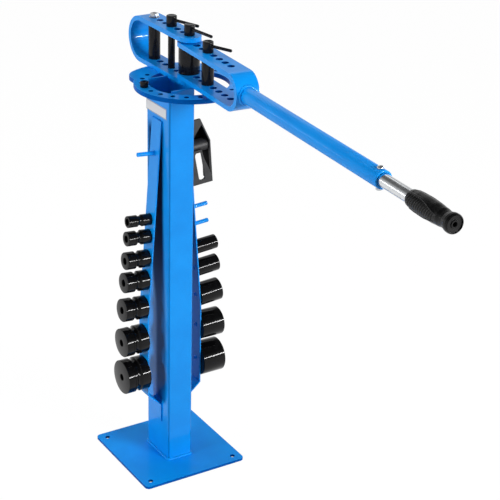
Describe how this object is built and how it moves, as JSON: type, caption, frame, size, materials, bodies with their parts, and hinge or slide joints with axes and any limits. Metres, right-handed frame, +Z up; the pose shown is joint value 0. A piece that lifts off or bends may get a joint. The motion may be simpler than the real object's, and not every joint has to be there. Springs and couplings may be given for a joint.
{
  "type": "pipe bender",
  "caption": "Pedestal pipe bender with a square foot, box column, index ring, nested U frames, long swing handle, pull pins, and a rack of hung grooved and plain dies.",
  "frame": {"origin": "middle of the foot plate's underside", "axes": "+Z up, the swing arm and its handle point along -Y, the grooved dies hang on the -X side"},
  "size_m": [0.2835, 1.1601, 0.9953],
  "materials": {
    "blue_paint": "gloss enamel",
    "black_steel": "black oxide, satin",
    "black_casting": "black, matt",
    "zinc_steel": "zinc plated",
    "bright_tube": "bright plated",
    "grip_rubber": "matt, moulded ribs"
  },
  "bodies": {
    "stand": {"base_plate": "blue_paint", "column": "blue_paint", "foot_weld": "blue_paint", "ring_weld": "blue_paint", "index_ring": "blue_paint", "fixed_frame": "blue_paint", "roller_bolt": "zinc_steel", "roller_washer": "zinc_steel", "roller_nut": "zinc_steel", "rack_left": "blue_paint", "rack_right": "blue_paint", "rack_pegs_left": "blue_paint", "rack_pegs_right": "blue_paint"},
    "back_roller": {"back_roller": "black_steel"},
    "stop_pin": {"stop_pin": "black_steel"},
    "swing_arm": {"swing_frame": "blue_paint", "handle_tube": "blue_paint", "handle_weld": "blue_paint", "inner_tube": "bright_tube", "cross_bolt": "zinc_steel", "cross_nut": "zinc_steel", "grip": "grip_rubber"},
    "pivot_pin": {"pivot_pin": "black_steel", "pivot_pin_lever": "black_steel"},
    "back_pin": {"back_pin": "black_steel", "back_pin_lever": "black_steel"},
    "arm_pin": {"arm_pin": "black_steel", "arm_pin_lever": "black_steel"},
    "centre_die": {"centre_die": "black_steel"},
    "arm_die": {"arm_die": "black_steel"},
    "grooved_die_25": {"grooved_die_25": "black_steel"},
    "grooved_die_32": {"grooved_die_32": "black_steel"},
    "grooved_die_38": {"grooved_die_38": "black_steel"},
    "grooved_die_44": {"grooved_die_44": "black_steel"},
    "grooved_die_51": {"grooved_die_51": "black_steel"},
    "grooved_die_64": {"grooved_die_64": "black_steel"},
    "grooved_die_76": {"grooved_die_76": "black_steel"},
    "plain_die_32": {"plain_die_32": "black_steel"},
    "plain_die_38": {"plain_die_38": "black_steel"},
    "plain_die_51": {"plain_die_51": "black_steel"},
    "plain_die_64": {"plain_die_64": "black_steel"},
    "plain_die_76": {"plain_die_76": "black_steel"},
    "slotted_block": {"slotted_block": "black_casting"}
  },
  "joints": [
    {"name": "arm_swing", "type": "hinge", "parent": "stand", "child": "swing_arm", "pos_m": [0.0435, 0, 0.92], "axis": [0, 0, 1], "range_deg": [-72, 155]},
    {"name": "back_roller_spin", "type": "hinge", "parent": "stand", "child": "back_roller", "pos_m": [0.0435, 0.15, 0.92], "axis": [0, 0, 1], "continuous": true},
    {"name": "centre_die_spin", "type": "hinge", "parent": "stand", "child": "centre_die", "pos_m": [0.0435, 0, 0.92], "axis": [0, 0, 1], "continuous": true},
    {"name": "arm_die_spin", "type": "hinge", "parent": "swing_arm", "child": "arm_die", "pos_m": [0.03819, -0.08433, 0.92], "axis": [0, 0, 1], "continuous": true},
    {"name": "pivot_pin_lift", "type": "slide", "parent": "stand", "child": "pivot_pin", "axis": [0, 0, 1], "range_m": [0, 0.106]},
    {"name": "back_pin_lift", "type": "slide", "parent": "stand", "child": "back_pin", "axis": [0, 0, 1], "range_m": [0, 0.106]},
    {"name": "arm_pin_lift", "type": "slide", "parent": "swing_arm", "child": "arm_pin", "axis": [0, 0, 1], "range_m": [0, 0.083]},
    {"name": "stop_pin_lift", "type": "slide", "parent": "stand", "child": "stop_pin", "axis": [0, 0, 1], "range_m": [0, 0.018]},
    {"name": "grooved_die_25_off", "type": "slide", "parent": "stand", "child": "grooved_die_25", "axis": [-0.9974, 0, 0.0722], "range_m": [0, 0.045]},
    {"name": "grooved_die_32_off", "type": "slide", "parent": "stand", "child": "grooved_die_32", "axis": [-0.9974, 0, 0.0722], "range_m": [0, 0.045]},
    {"name": "grooved_die_38_off", "type": "slide", "parent": "stand", "child": "grooved_die_38", "axis": [-0.9974, 0, 0.0722], "range_m": [0, 0.045]},
    {"name": "grooved_die_44_off", "type": "slide", "parent": "stand", "child": "grooved_die_44", "axis": [-0.9974, 0, 0.0722], "range_m": [0, 0.045]},
    {"name": "grooved_die_51_off", "type": "slide", "parent": "stand", "child": "grooved_die_51", "axis": [-0.9974, 0, 0.0722], "range_m": [0, 0.045]},
    {"name": "grooved_die_64_off", "type": "slide", "parent": "stand", "child": "grooved_die_64", "axis": [-1, 0, 0], "range_m": [0, 0.045]},
    {"name": "grooved_die_76_off", "type": "slide", "parent": "stand", "child": "grooved_die_76", "axis": [-1, 0, 0], "range_m": [0, 0.045]},
    {"name": "plain_die_32_off", "type": "slide", "parent": "stand", "child": "plain_die_32", "axis": [0.9969, 0, 0.0788], "range_m": [0, 0.045]},
    {"name": "plain_die_38_off", "type": "slide", "parent": "stand", "child": "plain_die_38", "axis": [0.9969, 0, 0.0788], "range_m": [0, 0.045]},
    {"name": "plain_die_51_off", "type": "slide", "parent": "stand", "child": "plain_die_51", "axis": [0.9969, 0, 0.0788], "range_m": [0, 0.045]},
    {"name": "plain_die_64_off", "type": "slide", "parent": "stand", "child": "plain_die_64", "axis": [1, 0, 0], "range_m": [0, 0.045]},
    {"name": "plain_die_76_off", "type": "slide", "parent": "stand", "child": "plain_die_76", "axis": [1, 0, 0], "range_m": [0, 0.045]},
    {"name": "slotted_block_off", "type": "slide", "parent": "stand", "child": "slotted_block", "axis": [0.9969, 0, 0.0788], "range_m": [0, 0.045]}
  ]
}
